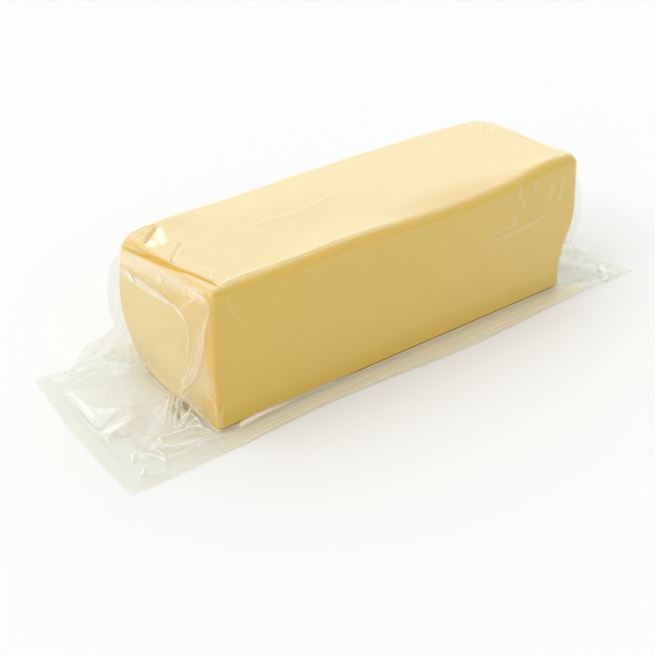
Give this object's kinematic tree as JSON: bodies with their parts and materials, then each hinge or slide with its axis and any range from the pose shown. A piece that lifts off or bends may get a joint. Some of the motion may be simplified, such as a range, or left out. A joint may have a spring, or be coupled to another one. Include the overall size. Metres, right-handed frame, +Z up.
{
  "type": "vacuum-packed edam block",
  "caption": "Long loaf of pale yellow Edam cheese in a clear vacuum bag, with flat sealed film tails, hems and corner fins round its foot.",
  "frame": {"origin": "on the surface that the block lies on, under the middle of the loaf", "axes": "+X along the loaf from its front end to its back end, +Y from its near long side to its far long side, +Z up"},
  "size_m": [0.4266, 0.1495, 0.1003],
  "materials": {
    "cheese": "smooth, slightly waxy cut-proof skin of young Edam",
    "film": "clear glossy vacuum film, creased"
  },
  "bodies": {
    "root": {"edam_loaf": "cheese", "film_bottom_web": "film", "film_fin_front_far": "film", "film_fin_back_near": "film", "film_fin_back_far": "film", "film_flap_front": "film"}
  },
  "joints": []
}
